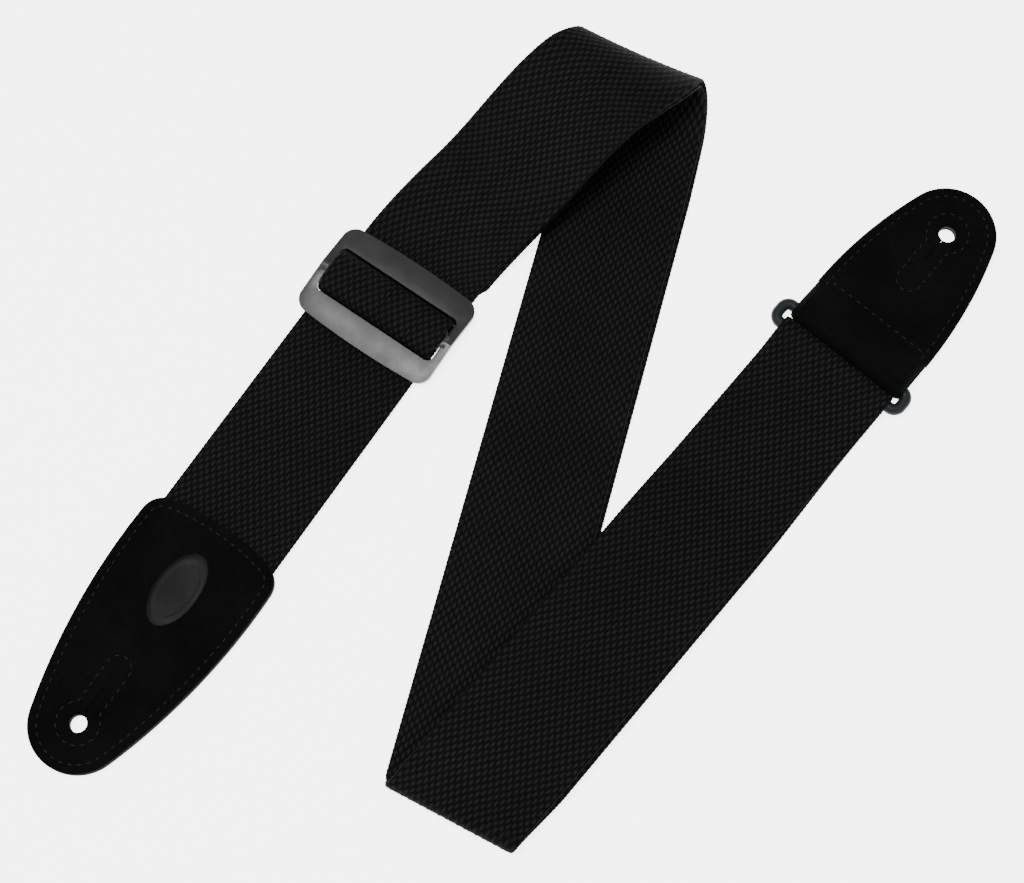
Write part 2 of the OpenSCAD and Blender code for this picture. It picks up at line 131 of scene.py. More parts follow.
def meet(n, dist, d):
    return M_POINT + d * ((dist - M_POINT @ n) / (d @ n))


TOP_MEET = meet(TOP_N, TOP_DIST, M_DIR)
BOTTOM_MEET = meet(BOTTOM_N, BOTTOM_DIST, -M_DIR)
TOP_END = TOP_MEET + TOP_A * LOOP_DRIFT
BOTTOM_SKEW = math.radians(LEG_M + 180 - BOTTOM_FOLD)
P, Q = CREASE_REACH, CREASE_H / 2
GIRTH = math.pi / 2 * (3 * (P + Q) - math.sqrt((3 * P + Q) * (P + 3 * Q)))
BOTTOM_END = BOTTOM_MEET + BOTTOM_A * GIRTH * math.tan(BOTTOM_SKEW)
END_B_HOLE = BOTTOM_END + B_DIR * (LEG_B_LEN + RING_GAP + RING_B) - left(B_DIR) * END_B_SHIFT
RING_AT = BOTTOM_END + B_DIR * LEG_B_LEN


# ---------- camera, light and floor ----------
def make_camera():
    tilt, distance, focal, frame_w = math.radians(15), 0.816, 2200.0, 1024.0
    target = Vector((0.15479, 0.10528, 0))
    camera = bpy.data.cameras.new("camera")
    camera.sensor_width = 36
    camera.lens = 36 * focal / frame_w
    camera.clip_start = 0.01
    place = bpy.data.objects.new("camera", camera)
    place.location = target + distance * Vector((0, -math.sin(tilt), math.cos(tilt)))
    place.rotation_euler = (tilt, 0, 0)
    bpy.context.scene.collection.objects.link(place)
    bpy.context.scene.camera = place


def make_light(name, place, size, power):
    lamp = bpy.data.lights.new(name, "AREA")
    lamp.size, lamp.energy = size, power
    ob = bpy.data.objects.new(name, lamp)
    ob.location = place
    aim = Vector((0.155, 0.105, 0)) - Vector(place)
    ob.rotation_euler = aim.to_track_quat("-Z", "Y").to_euler()
    bpy.context.scene.collection.objects.link(ob)


def make_studio():
    make_light("overhead_light", (-0.06, 0.16, 1.6), 0.55, 29)
    make_light("fill_light", (1.1, -0.5, 1.2), 0.9, 7)
    make_light("low_light", (-0.9, -0.5, 1.1), 0.9, 7)
    make_light("back_light", (0.3, 1.4, 1.0), 0.9, 2)
    world = bpy.data.worlds.new("studio")
    world.use_nodes = True
    world.node_tree.nodes["Background"].inputs["Color"].default_value = (1, 1, 1, 1)
    world.node_tree.nodes["Background"].inputs["Strength"].default_value = 0.55
    bpy.context.scene.world = world
    mesh = bpy.data.meshes.new("floor")
    half = 4.0
    corners = [(x, y, -0.0002) for x, y in ((-half, -half), (half, -half), (half, half), (-half, half))]
    mesh.from_pydata(corners, [], [(0, 1, 2, 3)])
    floor = bpy.data.objects.new("floor", mesh)
    bpy.context.scene.collection.objects.link(floor)
    m, tree, shader = new_material("floor_paper")
    shader.inputs["Base Color"].default_value = (0.93, 0.93, 0.93, 1)
    shader.inputs["Roughness"].default_value = 0.9
    shader.inputs["Emission Color"].default_value = (1, 1, 1, 1)
    shader.inputs["Emission Strength"].default_value = 4.0
    mesh.materials.append(m)


# ---------- material helpers ----------
def new_material(name):
    m = bpy.data.materials.new(name)
    m.use_nodes = True
    return m, m.node_tree, m.node_tree.nodes["Principled BSDF"]


def add(tree, kind, **values):
    n = tree.nodes.new(kind)
    for key, value in values.items():
        if hasattr(n, key):
            setattr(n, key, value)
        else:
            n.inputs[key.replace("_", " ")].default_value = value
    return n


def link(tree, a, out, b, into):
    tree.links.new(a.outputs[out], b.inputs[into])


def ramp(tree, source, out, stops):
    n = tree.nodes.new("ShaderNodeValToRGB")
    cr = n.color_ramp
    cr.elements[0].position, cr.elements[0].color = stops[0][0], (*stops[0][1], 1)
    cr.elements[1].position, cr.elements[1].color = stops[-1][0], (*stops[-1][1], 1)
    for at, colour in stops[1:-1]:
        cr.elements.new(at).color = (*colour, 1)
    tree.links.new(source.outputs[out], n.inputs["Fac"])
    return n


def grey(v, tint=0.0):
    return (v * (1 - tint), v, v * (1 + tint))


def noise(tree, vector, out, scale, detail=3.0, rough=0.55):
    n = add(tree, "ShaderNodeTexNoise", Scale=scale, Detail=detail, Roughness=rough)
    tree.links.new(vector.outputs[out], n.inputs["Vector"])
    return n


def bump(tree, shader, source, out, strength, distance, onto=None):
    n = add(tree, "ShaderNodeBump", Strength=strength, Distance=distance)
    tree.links.new(source.outputs[out], n.inputs["Height"])
    if onto:
        tree.links.new(onto.outputs["Normal"], n.inputs["Normal"])
    tree.links.new(n.outputs["Normal"], shader.inputs["Normal"])
    return n


def mix_colour(tree, factor, factor_out, a, a_out, b, b_out, blend="MIX", amount=None):
    n = tree.nodes.new("ShaderNodeMix")
    n.data_type, n.blend_type = "RGBA", blend
    if amount is None:
        tree.links.new(factor.outputs[factor_out], n.inputs[0])
    else:
        n.inputs[0].default_value = amount
    tree.links.new(a.outputs[a_out], n.inputs[6])
    tree.links.new(b.outputs[b_out], n.inputs[7])
    return n


# ---------- materials ----------
def webbing_material():
    """Dull black cotton: painted shade darkens it between the crowns and the crowns are painted lighter,
    fine twisted yarn along each crown.
    """
    m, tree, shader = new_material("woven_cotton")
    along = add(tree, "ShaderNodeAttribute", attribute_name="along")
    across = add(tree, "ShaderNodeAttribute", attribute_name="across")
    crown = add(tree, "ShaderNodeAttribute", attribute_name="crown")
    place = tree.nodes.new("ShaderNodeCombineXYZ")
    link(tree, along, "Fac", place, "X")
    link(tree, across, "Fac", place, "Y")
    yarn_space = add(tree, "ShaderNodeMapping")
    yarn_space.inputs["Scale"].default_value = (0.9, 5.5, 1)
    yarn_space.inputs["Rotation"].default_value = (0, 0, math.radians(24))
    link(tree, place, "Vector", yarn_space, "Vector")
    yarn = noise(tree, yarn_space, "Vector", 1.0, 4.0, 0.6)
    # painted shade: the base colour runs from near black in the valleys between crowns and at the selvedges
    # to lighter on the crowns, standing in for the weave's shade
    depth = ramp(tree, crown, "Fac", [(0.0, grey(0.0005)), (0.3, grey(0.0018, 0.03)),
                                      (0.8, grey(0.0085, 0.04))])
    fibre = ramp(tree, yarn, "Fac", [(0.3, grey(0.55)), (0.75, grey(1.35))])
    yarn_and_valley_shade = mix_colour(tree, None, None, depth, "Color", fibre, "Color", "MULTIPLY", 1.0)
    patch_space = add(tree, "ShaderNodeTexCoord")
    patch = noise(tree, patch_space, "Object", 24.0, 3.0)
    faded = ramp(tree, patch, "Fac", [(0.3, grey(0.82)), (0.7, grey(1.16))])
    colour = mix_colour(tree, None, None, yarn_and_valley_shade, 2, faded, "Color", "MULTIPLY", 1.0)
    link(tree, colour, 2, shader, "Base Color")
    shader.inputs["Roughness"].default_value = 0.8
    shader.inputs["Specular IOR Level"].default_value = 0.06
    shader.inputs["Sheen Weight"].default_value = 0.004
    shader.inputs["Sheen Roughness"].default_value = 0.5
    fuzz = noise(tree, patch_space, "Object", 2600.0, 2.0)
    first = bump(tree, shader, fuzz, "Fac", 0.25, 0.00012)
    bump(tree, shader, yarn, "Fac", 0.6, 0.00016, first)
    return m


def suede_material(name, dark, light, nap=1.0):
    """Brushed black suede: soft nap, cloudy patches where the nap lies another way."""
    m, tree, shader = new_material(name)
    space = add(tree, "ShaderNodeTexCoord")
    cloud = noise(tree, space, "Object", 38.0, 4.0, 0.6)
    grain = noise(tree, space, "Object", 1500.0, 4.0, 0.7)
    base = ramp(tree, cloud, "Fac", [(0.32, grey(dark)), (0.7, grey(light))])
    speck = ramp(tree, grain, "Fac", [(0.35, grey(0.6)), (0.72, grey(1.5))])
    colour = mix_colour(tree, None, None, base, "Color", speck, "Color", "MULTIPLY", 0.8)
    link(tree, colour, 2, shader, "Base Color")
    shader.inputs["Roughness"].default_value = 0.93
    shader.inputs["Specular IOR Level"].default_value = 0.04
    shader.inputs["Sheen Weight"].default_value = 0.003
    shader.inputs["Sheen Roughness"].default_value = 0.6
    fine = bump(tree, shader, grain, "Fac", 0.5 * nap, 0.00015)
    pits = noise(tree, space, "Object", 420.0, 3.0)
    bump(tree, shader, pits, "Fac", 0.35 * nap, 0.00025, fine)
    return m


def grain_leather_material(name, dark, light, rough, pebbled=0.35, shine=0.4):
    """Smooth leather with a pebbled grain, for the linings and the pressed oval."""
    m, tree, shader = new_material(name)
    space = add(tree, "ShaderNodeTexCoord")
    pebble = add(tree, "ShaderNodeTexVoronoi", Scale=900.0)
    link(tree, space, "Object", pebble, "Vector")
    cloud = noise(tree, space, "Object", 60.0, 4.0)
    base = ramp(tree, cloud, "Fac", [(0.3, grey(dark)), (0.75, grey(light))])
    pore = ramp(tree, pebble, "Distance", [(0.0, grey(0.75)), (0.5, grey(1.2))])
    colour = mix_colour(tree, None, None, base, "Color", pore, "Color", "MULTIPLY", 0.7)
    link(tree, colour, 2, shader, "Base Color")
    polish = ramp(tree, cloud, "Fac", [(0.3, grey(rough - 0.07)), (0.75, grey(rough + 0.08))])
    link(tree, polish, "Color", shader, "Roughness")
    shader.inputs["Specular IOR Level"].default_value = shine
    bump(tree, shader, pebble, "Distance", pebbled, 0.0002)
    return m


def plastic_material(name, colour, worn, rough, shine):
    """Satin moulded plastic: faint orange peel, paler rubbed patches."""
    m, tree, shader = new_material(name)
    space = add(tree, "ShaderNodeTexCoord")
    rub = noise(tree, space, "Object", 90.0, 5.0, 0.65)
    base = ramp(tree, rub, "Fac", [(0.35, colour), (0.8, worn)])
    link(tree, base, "Color", shader, "Base Color")
    polish = ramp(tree, rub, "Fac", [(0.3, grey(rough - 0.05)), (0.75, grey(rough + 0.1))])
    link(tree, polish, "Color", shader, "Roughness")
    shader.inputs["Specular IOR Level"].default_value = shine
    peel = noise(tree, space, "Object", 700.0, 2.0)
    bump(tree, shader, peel, "Fac", 0.12, 0.0002)
    return m


def thread_material():
    """Black waxed thread with its twist."""
    m, tree, shader = new_material("waxed_thread")
    space = add(tree, "ShaderNodeTexCoord")
    ply = add(tree, "ShaderNodeTexWave", Scale=700.0, Distortion=1.5)
    ply.bands_direction = "DIAGONAL"
    link(tree, space, "Object", ply, "Vector")
    base = ramp(tree, ply, "Fac", [(0.2, grey(0.002)), (0.8, grey(0.009, 0.02))])
    link(tree, base, "Color", shader, "Base Color")
    shader.inputs["Roughness"].default_value = 0.75
    shader.inputs["Specular IOR Level"].default_value = 0.15
    bump(tree, shader, ply, "Fac", 0.4, 0.0001)
    return m


# ---------- meshes ----------
def new_object(name, verts, faces, material, smooth=True):
    mesh = bpy.data.meshes.new(name)
    mesh.from_pydata(np.asarray(verts).tolist(), [], faces)
    mesh.materials.append(material)
    if smooth:
        mesh.polygons.foreach_set("use_smooth", [True] * len(mesh.polygons))
    ob = bpy.data.objects.new(name, mesh)
    bpy.context.scene.collection.objects.link(ob)
    return ob


def bake(ob, name=None):
    """Turns the evaluated object into a plain mesh and drops its modifiers."""
    graph = bpy.context.evaluated_depsgraph_get()
    mesh = bpy.data.meshes.new_from_object(ob.evaluated_get(graph))
    plain = bpy.data.objects.new(name or ob.name + "_plain", mesh)
    bpy.context.scene.collection.objects.link(plain)
    keep = ob.name
    bpy.data.objects.remove(ob)
    if name is None:
        plain.name = keep
    return plain


# ---------- geometry node trees ----------
class Tree:
    """A geometry node tree with named inputs."""

    def __init__(self, name, inputs):
        self.tree = bpy.data.node_groups.new(name, "GeometryNodeTree")
        face = self.tree.interface
        face.new_socket("Geometry", in_out="INPUT", socket_type="NodeSocketGeometry")
        for label, kind, value in inputs:
            socket = face.new_socket(label, in_out="INPUT", socket_type=kind)
            if value is not None:
                socket.default_value = value
        face.new_socket("Geometry", in_out="OUTPUT", socket_type="NodeSocketGeometry")
        self.given = self.tree.nodes.new("NodeGroupInput")
        self.result = self.tree.nodes.new("NodeGroupOutput")

    def node(self, kind, **settings):
        n = self.tree.nodes.new(kind)
        for key, value in settings.items():
            setattr(n, key, value)
        return n

    def wire(self, a, b):
        self.tree.links.new(a, b)

    def sum(self, operation, a, b=None):
        n = self.node("ShaderNodeMath", operation=operation)
        for socket, value in zip(n.inputs, (a, b)):
            if value is None:
                continue
            if isinstance(value, (int, float)):
                socket.default_value = value
            else:
                self.wire(value, socket)
        return n.outputs[0]

    def field(self, name):
        n = self.node("GeometryNodeInputNamedAttribute", data_type="FLOAT")
        n.inputs["Name"].default_value = name
        return n.outputs["Attribute"]

    def finish(self, geometry, material_socket):
        real = self.node("GeometryNodeRealizeInstances")
        paint = self.node("GeometryNodeSetMaterial")
        self.wire(geometry, real.inputs["Geometry"])
        self.wire(real.outputs["Geometry"], paint.inputs["Geometry"])
        self.wire(material_socket, paint.inputs["Material"])
        self.wire(paint.outputs["Geometry"], self.result.inputs["Geometry"])
        return self.tree


def weave_tree():
    """Raises crowns out of a smooth band: along, across and woven are attributes in millimetres."""
    t = Tree("weave", [("Column width", "NodeSocketFloat", COLUMN_W),
                       ("Crown step", "NodeSocketFloat", CROWN_STEP),
                       ("Crown height", "NodeSocketFloat", CROWN_H * MM),
                       ("Material", "NodeSocketMaterial", None)])
    given = t.given.outputs
    column = t.sum("DIVIDE", t.field("across"), given["Column width"])
    number = t.sum("FLOOR", column)
    across = t.sum("SUBTRACT", t.sum("FRACT", column), 0.5)
    odd = t.sum("FLOORED_MODULO", number, 2.0)
    step = t.sum("ADD", t.sum("DIVIDE", t.field("along"), given["Crown step"]), t.sum("MULTIPLY", odd, 0.5))
    wave = t.sum("COSINE", t.sum("MULTIPLY", step, 2 * math.pi))
    hill = t.sum("POWER", t.sum("ADD", t.sum("MULTIPLY", wave, 0.5), 0.5), 1.1)
    ridge = t.sum("POWER", t.sum("MAXIMUM", t.sum("COSINE", t.sum("MULTIPLY", across, math.pi)), 0.0), 0.45)
    crown = t.sum("MULTIPLY", t.sum("MULTIPLY", ridge, t.sum("ADD", t.sum("MULTIPLY", hill, 0.85), 0.15)),
                  t.field("woven"))
    # crown is kept as an attribute; the cotton material reads it to paint shade in the valleys and lighter
    # crowns
    store = t.node("GeometryNodeStoreNamedAttribute", data_type="FLOAT", domain="POINT")
    store.inputs["Name"].default_value = "crown"
    t.wire(given["Geometry"], store.inputs["Geometry"])
    t.wire(crown, store.inputs["Value"])
    normal = t.node("GeometryNodeInputNamedAttribute", data_type="FLOAT_VECTOR")
    normal.inputs["Name"].default_value = "outward"
    lift = t.node("ShaderNodeVectorMath", operation="SCALE")
    t.wire(normal.outputs["Attribute"], lift.inputs[0])
    t.wire(t.sum("MULTIPLY", crown, given["Crown height"]), lift.inputs["Scale"])
    move = t.node("GeometryNodeSetPosition")
    t.wire(store.outputs["Geometry"], move.inputs["Geometry"])
    t.wire(lift.outputs["Vector"], move.inputs["Offset"])
    return t.finish(move.outputs["Geometry"], given["Material"])


def stitch_tree():
    """Lays a waisted stitch at every pitch along a path."""
    t = Tree("stitches", [("Pitch", "NodeSocketFloat", STITCH_PITCH * MM),
                          ("Length", "NodeSocketFloat", STITCH_L * MM),
                          ("Thread", "NodeSocketFloat", THREAD_R * MM),
                          ("Material", "NodeSocketMaterial", None)])
    given = t.given.outputs
    points = t.node("GeometryNodeCurveToPoints", mode="LENGTH")
    t.wire(given["Geometry"], points.inputs["Curve"])
    t.wire(given["Pitch"], points.inputs["Length"])
    bead = t.node("GeometryNodeMeshUVSphere")
    bead.inputs["Segments"].default_value = 8
    bead.inputs["Rings"].default_value = 6
    bead.inputs["Radius"].default_value = 1.0
    size = t.node("ShaderNodeCombineXYZ")
    t.wire(t.sum("MULTIPLY", given["Length"], 0.5), size.inputs["X"])
    t.wire(given["Thread"], size.inputs["Y"])
    t.wire(t.sum("MULTIPLY", given["Thread"], 0.8), size.inputs["Z"])
    turn = t.node("FunctionNodeAlignRotationToVector", axis="X")
    t.wire(points.outputs["Tangent"], turn.inputs["Vector"])
    place = t.node("GeometryNodeInstanceOnPoints")
    t.wire(points.outputs["Points"], place.inputs["Points"])
    t.wire(bead.outputs["Mesh"], place.inputs["Instance"])
    t.wire(turn.outputs["Rotation"], place.inputs["Rotation"])
    t.wire(size.outputs["Vector"], place.inputs["Scale"])
    return t.finish(place.outputs["Instances"], given["Material"])


def run_tree(ob, tree, **values):
    mod = ob.modifiers.new(tree.name, "NODES")
    mod.node_group = tree
    names = {s.name: s.identifier for s in tree.interface.items_tree if s.in_out == "INPUT"}
    for label, value in values.items():
        mod[names[label.replace("_", " ")]] = value
    return bake(ob)


# ---------- the band: one long route for each layer ----------
def crease_row(off, q):
    s, c = math.sin(math.pi * q), math.cos(math.pi * q)
    inward = -unit([s / CREASE_REACH, -c / (CREASE_H / 2)])
    p = np.array([CREASE_REACH * s, CREASE_H / 2 * (1 - c)]) + off * inward
    drift = GIRTH * math.tan(BOTTOM_SKEW)
    return (flat3(BOTTOM_MEET + BOTTOM_A * drift * q + BOTTOM_N * p[0], p[1]),
            flat3(BOTTOM_A, 0) * (WEB_W / 2 / math.cos(BOTTOM_SKEW)), flat3(BOTTOM_N * inward[0], inward[1]))


def loop_row(off, q):
    s, c = math.sin(math.pi * q), math.cos(math.pi * q)
    inward = -unit([s / LOOP_REACH, -c / HALF_H])
    angle = mix(LEG_M, CROWN_DIR, 2 * q) if q < 0.5 else mix(CROWN_DIR, LOOP_LEG, 2 * q - 1)
    n = direction(angle)
    p = np.array([LOOP_REACH * s, HALF_H * (1 - c)]) + off * inward
    return (flat3(TOP_MEET + TOP_A * LOOP_DRIFT * ease(q) + n * p[0], p[1]),
            flat3(left(n), 0) * WEB_W / 2, flat3(n * inward[0], inward[1]))


RISE_START = A_DIR * (SLIDE_AT + SLIDE_W / 2 + 1)
LOOP_DIR = direction(LOOP_LEG)
RISE_STOP = TOP_END - LOOP_DIR * SOFT_GAP
HANDLE = np.linalg.norm(RISE_STOP - RISE_START) / 3


def rise_row(depth, q):
    def plan(x):
        a, b = RISE_START, RISE_START + A_DIR * HANDLE
        c, d = RISE_STOP - LOOP_DIR * HANDLE, RISE_STOP
        return a * (1 - x) ** 3 + 3 * b * x * (1 - x) ** 2 + 3 * c * x * x * (1 - x) + d * x ** 3

    def height(x):
        return mix(FRONT_Z + WEB_T / 2, LOOP_H - WEB_T / 2, ease(x))

    e = 0.001
    q0, q1 = max(q - e, 0), min(q + e, 1)
    x = mix(left(A_DIR), left(LOOP_DIR), ease(q)) * WEB_W / 2
    tangent = flat3(plan(q1) - plan(q0), height(q1) - height(q0))
    up = unit(np.cross(tangent, flat3(x, 0)))
    return (flat3(plan(q), height(q)) - up * depth * (1 + 0.12 * math.sin(math.pi * q)), flat3(x, 0), up)


def drop_row(s, x, z0, z1):
    q = min(max((s - DROP_FROM) / DROP_LEN, 0), 1)
    slope = (z0 - z1) * 6 * q * (1 - q) / DROP_LEN
    return flat3(BOTTOM_END + B_DIR * s, mix(z0, z1, ease(q))), flat3(x, 0), unit(flat3(B_DIR * slope, 1))


def spread(maker, count):
    return [maker(i / count) for i in range(count + 1)]


def ring_turn_rows():
    cross = flat3(left(B_DIR) * WEB_W / 2, 0)
    z0, z1 = FRONT_Z + WEB_T / 2, RING_Z + TURN_R
    rows = []
    for i in range(1, 25):
        q = i / 24
        s = LEG_B_LEN + mix(1 - TURN_TAPER, 0, q)
        slope = (z1 - z0) * 6 * q * (1 - q) / (TURN_TAPER - 1)
        rows.append((flat3(BOTTOM_END + B_DIR * s, mix(z0, z1, ease(q))), cross,
                     unit(flat3(B_DIR * -slope, 1))))
    for i in range(1, 25):
        a = math.radians(90 - 180 * i / 24)
        out = flat3(B_DIR * math.cos(a), math.sin(a))
        rows.append((flat3(RING_AT, RING_Z) + out * TURN_R, cross, out))
    for i in range(1, 9):
        s = LEG_B_LEN - TURN_TAPER * i / 8
        rows.append((flat3(BOTTOM_END + B_DIR * s, WEB_T / 2), cross, np.array([0, 0, -1.0])))
    return rows


def layer_rows(front):
    """Rows (centre, half cross vector to the left, outward-face normal) of a layer, with marks."""
    a_cross, m_cross = flat3(left(A_DIR) * WEB_W / 2, 0), flat3(left(M_DIR) * WEB_W / 2, 0)
    b_cross, up = flat3(left(B_DIR) * WEB_W / 2, 0), np.array([0, 0, 1.0])
    z = (FRONT_Z if front else 0) + WEB_T / 2
    start = WEB_INTO_A if front else SLIDE_AT
    rows = spread(lambda q: (flat3(mix(A_DIR * start, RISE_START, q), z), a_cross, up), 60)[:-1]
    rows += spread(lambda q: rise_row(0 if front else FRONT_Z, q), 60)
    marks = {"top_end": len(rows) - 1}

    def loop(q):
        off = WEB_T / 2 if front else FRONT_Z + WEB_T / 2 + LOOSE * math.sin(math.pi * q)
        c, x, n = loop_row(off, q)
        return c, x, -n

    rows += spread(lambda q: loop(1 - q), 80)[1:]
    marks["crown"] = marks["top_end"] + 40
    marks["top_meet"] = len(rows) - 1
    mz = WEB_T / 2 if front else FRONT_Z + WEB_T / 2
    c_cross = -flat3(BOTTOM_A, 0) * (WEB_W / 2 / math.cos(BOTTOM_SKEW))
    rows += spread(lambda q: (flat3(mix(TOP_MEET, BOTTOM_MEET, q), mz), mix(m_cross, c_cross, q), -up),
                   60)[1:]
    marks["bottom_meet"] = len(rows) - 1

    def crease(q):
        c, x, n = crease_row(WEB_T / 2 if front else FRONT_Z + WEB_T / 2, q)
        return c, -x, -n

    rows += spread(crease, 40)[1:]
    marks["fold"] = marks["bottom_meet"] + 20
    marks["bottom_end"] = len(rows) - 1
    high, low = CREASE_GAP + STACK_T + z, z
    stop = LEG_B_LEN - TURN_TAPER
    rows += spread(lambda q: drop_row(mix(0, 30, q), mix(c_cross, b_cross, q), high, low), 20)[1:]
    rows += spread(lambda q: drop_row(mix(30, stop + (1 if front else 0), q), b_cross, high, low), 90)[1:]
    if front:
        rows += ring_turn_rows()
    return rows, marks


def rise_between(s, a, b):
    return ease(np.clip((s - a) / (b - a), 0, 1))


def peek(s, mark, front):
    """How far the layer underneath has crept out to the right of the one on top, at each distance."""
    if front:
        return PEEK * rise_between(s, mark["crown"], mark["top_meet"] + 30) * (
            1 - rise_between(s, mark["bottom_meet"] - 30, mark["bottom_end"] + 10))
    cut_end = SLIDE_W / 2 + 6
    first_leg = CUT_PEEK * rise_between(s, cut_end, cut_end + 3) * (
        1 - rise_between(s, cut_end + 12, cut_end + 60))
    last_leg = rise_between(s, mark["bottom_meet"], mark["bottom_end"] + 30) * (
        1 - rise_between(s, s[-1] - 70, s[-1]))
    return first_leg + PEEK * last_leg


def bulge(s, mark):
    """The band swings wide to the left just before the loop's crown."""
    return BULGE * rise_between(s, mark["top_end"] - 60, mark["top_end"] - 10) * (
        1 - rise_between(s, mark["top_end"] - 8, mark["crown"] - 3))


def resample(rows, marks, front):
    """Even rows along the band; returns arrays and where each mark falls in millimetres."""
    c, x, n = (np.array([r[i] for r in rows], float) for i in range(3))
    s = np.concatenate([[0], np.cumsum(np.linalg.norm(np.diff(c, axis=0), axis=1))])
    at = {k: s[i] for k, i in marks.items()}
    c = c + unit(x) * (bulge(s, at) - peek(s, at, front))[:, None]
    step = CROWN_STEP / ROWS_PER_STEP
    even = np.arange(0, s[-1], step)
    pick = [np.stack([np.interp(even, s, v[:, k]) for k in range(3)], 1) for v in (c, x, n)]
    return even, pick[0], pick[1], unit(pick[2]), {k: s[i] for k, i in marks.items()}


def closed_band_faces(rows, k):
    """Faces round a band of so many rows of k points, with both cut ends closed."""
    index = np.arange(rows * k).reshape(rows, k)
    nxt = np.roll(index, -1, axis=1)
    quads = np.stack([index[:-1], nxt[:-1], nxt[1:], index[1:]], axis=-1).reshape(-1, 4)
    return quads[:, ::-1].tolist() + [index[0].tolist(), index[-1][::-1].tolist()]


def band(name, route, start, stop, material, faces=("top", "under"), coarse=10):
    """Closed woven band between two distances along a route."""
    even, c, x, n, _ = route
    keep = (even >= start - 1e-6) & (even <= stop + 1e-6)
    even, c, x, n = even[keep], c[keep], x[keep], n[keep]
    tangent = unit(np.gradient(c, axis=0))
    lean = np.sum(x * tangent, axis=1)
    half = np.sqrt(np.maximum(np.sum(x * x, axis=1) - lean ** 2, 1e-9))
    columns = {}
    for side in ("top", "under"):
        count = COLUMNS_ACROSS if side in faces else coarse
        columns[side] = np.linspace(-1, 1, count + 1)
    v = np.concatenate([columns["top"], columns["under"][::-1][1:-1]])
    sign = np.concatenate([np.ones(len(columns["top"])), -np.ones(len(columns["under"]) - 2)])
    woven_side = np.where(sign > 0, "top" in faces, "under" in faces).astype(float)
    edge = 1 - SELVEDGE / (WEB_W / 2)
    fall = np.clip((np.abs(v) - edge) / (1 - edge), 0, 1)
    thick = np.sqrt(np.maximum(1 - fall ** 2, 0))
    core = WEB_T / 2 - CROWN_H
    k = len(v)
    wobble = 1 + 0.0035 * np.sin(2 * math.pi * even / (CROWN_STEP / 2))[:, None] * fall[None, :]
    offset = sign[None, :] * thick[None, :] * core
    p = (c[:, None, :] + x[:, None, :] * (v[None, :] * wobble * 0.998)[:, :, None]
         + n[:, None, :] * offset[:, :, None])
    ob = new_object(name, p.reshape(-1, 3) * MM, closed_band_faces(len(even), k), material)
    along = even[:, None] + lean[:, None] * v[None, :]
    across = half[:, None] * v[None, :] + np.zeros_like(along)
    woven = np.broadcast_to(woven_side * np.clip(thick * 1.3, 0, 1), along.shape)
    for label, values in (("along", along), ("across", across + 100 * COLUMN_W), ("woven", woven)):
        layer = ob.data.attributes.new(label, "FLOAT", "POINT")
        layer.data.foreach_set("value", values.reshape(-1).astype(np.float32))
    outward = (n[:, None, :] * sign[None, :, None]).reshape(-1, 3).astype(np.float32)
    layer = ob.data.attributes.new("outward", "FLOAT_VECTOR", "POINT")
    layer.data.foreach_set("vector", outward.reshape(-1))
    ends = np.zeros(len(ob.data.vertices), bool)
    ends[:k] = ends[-k:] = True
    pairs = np.zeros(len(ob.data.edges) * 2, np.int32)
    ob.data.edges.foreach_get("vertices", pairs)
    pairs = pairs.reshape(-1, 2)
    same = (pairs[:, 0] < k) == (pairs[:, 1] < k)
    sharp = ob.data.attributes.new("sharp_edge", "BOOLEAN", "EDGE")
    sharp.data.foreach_set("value", (ends[pairs[:, 0]] & ends[pairs[:, 1]] & same).tolist())
    return run_tree(ob, WEAVE, Material=material)


def strip_route(points, across_dir, centre, width, normal_out):
    """Route for a short strip whose profile is given in a vertical plane (u, z)."""
    pts = np.array(points, float)
    t = unit(np.gradient(pts, axis=0))
    n2 = np.stack([-t[:, 1], t[:, 0]], 1) * normal_out
    u3 = flat3(across_dir[0], 0)
    c = flat3(centre, 0) + pts[:, :1] * u3 + pts[:, 1:] * np.array([0, 0, 1.0])
    n = n2[:, :1] * u3 + n2[:, 1:] * np.array([0, 0, 1.0])
    x = np.tile(flat3(across_dir[1] * width / 2, 0), (len(pts), 1))
    s = np.concatenate([[0], np.cumsum(np.linalg.norm(np.diff(c, axis=0), axis=1))])
    return s, c, x, n, {}


# ---------- leather ----------
def arc(c, r, a0, a1, n):
    return [np.asarray(c) + r * direction(mix(a0, a1, i / n)) for i in range(n + 1)]


def angle_of(v):
    return math.degrees(math.atan2(v[1], v[0]))


def side_radius(tip, at, w):
    return (at * at + w * w - tip * tip) / (2 * (w - tip))


def corner_centre(s, rs, b, rb, r):
    d = np.linalg.norm(s - b)
    x = ((rb - r) ** 2 - (rs - r) ** 2 + d * d) / (2 * d)
    h = math.sqrt((rb - r) ** 2 - x * x)
    e = (s - b) / d
    return b + e * x + left(e) * h


def half_a(d, fine=1):
    rs = side_radius(TIP_A, WIDE_A, HALF_A)
    s, b = np.array([WIDE_A, HALF_A - rs]), np.array([BASE_A - BASE_R, 0])
    c = corner_centre(s, rs, b, BASE_R, CORNER_A)
    tip, corner, base = angle_of(-s), angle_of(c - s), angle_of(c - b)
    return (arc([0, 0], TIP_A - d, 180, tip, 16 * fine)[:-1] + arc(s, rs - d, tip, corner, 30 * fine)[:-1]
            + arc(c, CORNER_A - d, corner, base, 8 * fine)[:-1] + arc(b, BASE_R - d, base, 0, 10 * fine))


def half_b(d, stop, fine=1):
    rs = side_radius(TIP_B, WIDE_B, HALF_B)
    s = np.array([WIDE_B, HALF_B - rs])
    tip, end = angle_of(-s), math.degrees(math.acos((stop - s[0]) / (rs - d)))
    return arc([0, 0], TIP_B - d, 180, tip, 16 * fine)[:-1] + arc(s, rs - d, tip, end, 24 * fine)


def closed(half):
    """Whole outline from its upper half, without repeated points."""
    lower = [np.array([p[0], -p[1]]) for p in half[::-1]]
    if abs(half[-1][1]) < 1e-6:
        lower = lower[1:]
    return np.array(half + lower[:-1])


